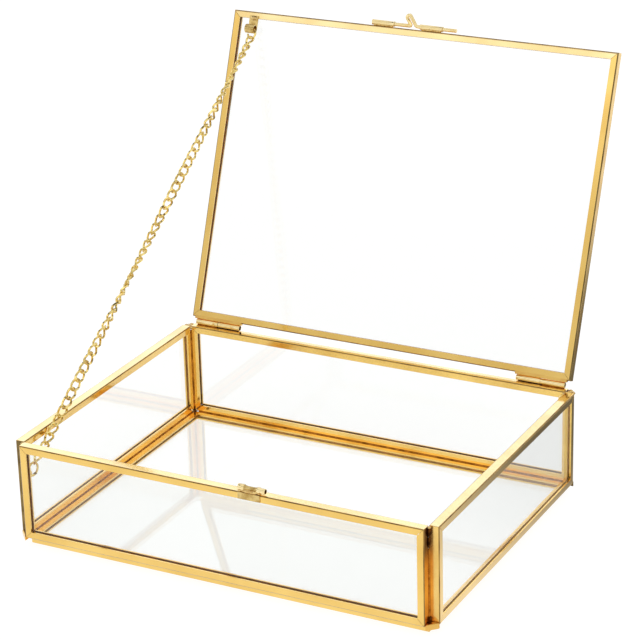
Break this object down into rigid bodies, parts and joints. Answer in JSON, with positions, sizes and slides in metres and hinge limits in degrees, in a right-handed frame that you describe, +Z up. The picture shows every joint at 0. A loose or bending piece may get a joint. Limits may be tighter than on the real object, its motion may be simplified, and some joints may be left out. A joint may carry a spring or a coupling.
{
  "type": "jewelry box",
  "caption": "Clear glass jewelry box with soldered brass channel edges, a hinged lid held open by a chain, and a small sliding bolt.",
  "frame": {"origin": "centre of the box's footprint, in the plane of the bottom rails it stands on", "axes": "+X along the hinge, +Y from the front to the hinge side, +Z up; the lid is stored open"},
  "size_m": [0.2, 0.2077, 0.1952],
  "materials": {
    "clear_glass": "clear, polished float glass",
    "rail_brass": "polished brass channel with fine drawing lines",
    "hardware_brass": "bright brass tube and wire",
    "chain_brass": "bright brass wire links",
    "solder": "brass-plated solder, duller and darker than the rails"
  },
  "bodies": {
    "base": {"front_glass": "clear_glass", "back_glass": "clear_glass", "left_glass": "clear_glass", "right_glass": "clear_glass", "bottom_glass": "clear_glass", "front_top_rail": "rail_brass", "front_bottom_rail": "rail_brass", "front_left_post": "rail_brass", "front_right_post": "rail_brass", "back_top_rail": "rail_brass", "back_bottom_rail": "rail_brass", "back_left_post": "rail_brass", "back_right_post": "rail_brass", "left_top_rail": "rail_brass", "left_bottom_rail": "rail_brass", "left_front_post": "rail_brass", "left_back_post": "rail_brass", "right_top_rail": "rail_brass", "right_bottom_rail": "rail_brass", "right_front_post": "rail_brass", "right_back_post": "rail_brass", "bottom_front_rail": "rail_brass", "bottom_back_rail": "rail_brass", "bottom_left_rail": "rail_brass", "bottom_right_rail": "rail_brass", "upright_seam_solder": "solder", "bottom_seam_solder": "solder", "corner_foot_solder": "solder", "back_corner_solder": "solder", "base_knuckle_left": "hardware_brass", "base_knuckle_right": "hardware_brass", "hinge_pin_left": "hardware_brass", "hinge_pin_right": "hardware_brass", "base_hinge_solder": "solder", "latch_keeper": "hardware_brass", "chain_links": "chain_brass", "chain_base_ring": "chain_brass", "chain_eyelet": "chain_brass"},
    "lid": {"lid_glass": "clear_glass", "lid_front_rail": "rail_brass", "lid_back_rail": "rail_brass", "lid_left_rail": "rail_brass", "lid_right_rail": "rail_brass", "lid_knuckle_left": "hardware_brass", "lid_knuckle_right": "hardware_brass", "lid_hinge_solder": "solder", "bolt_guide_left": "hardware_brass", "bolt_guide_right": "hardware_brass", "bolt_guide_solder": "solder", "chain_tab": "chain_brass", "chain_lid_ring": "chain_brass"},
    "latch_bolt": {"latch_bolt": "hardware_brass"}
  },
  "joints": [
    {"name": "lid_hinge", "type": "hinge", "parent": "base", "child": "lid", "pos_m": [0, 0.0752, 0.05], "axis": [1, 0, 0], "range_deg": [0, 110.9], "deforming": ["chain_links"]},
    {"name": "bolt_slide", "type": "slide", "parent": "lid", "child": "latch_bolt", "axis": [1, 0, 0], "range_m": [-0.0061, 0]}
  ]
}
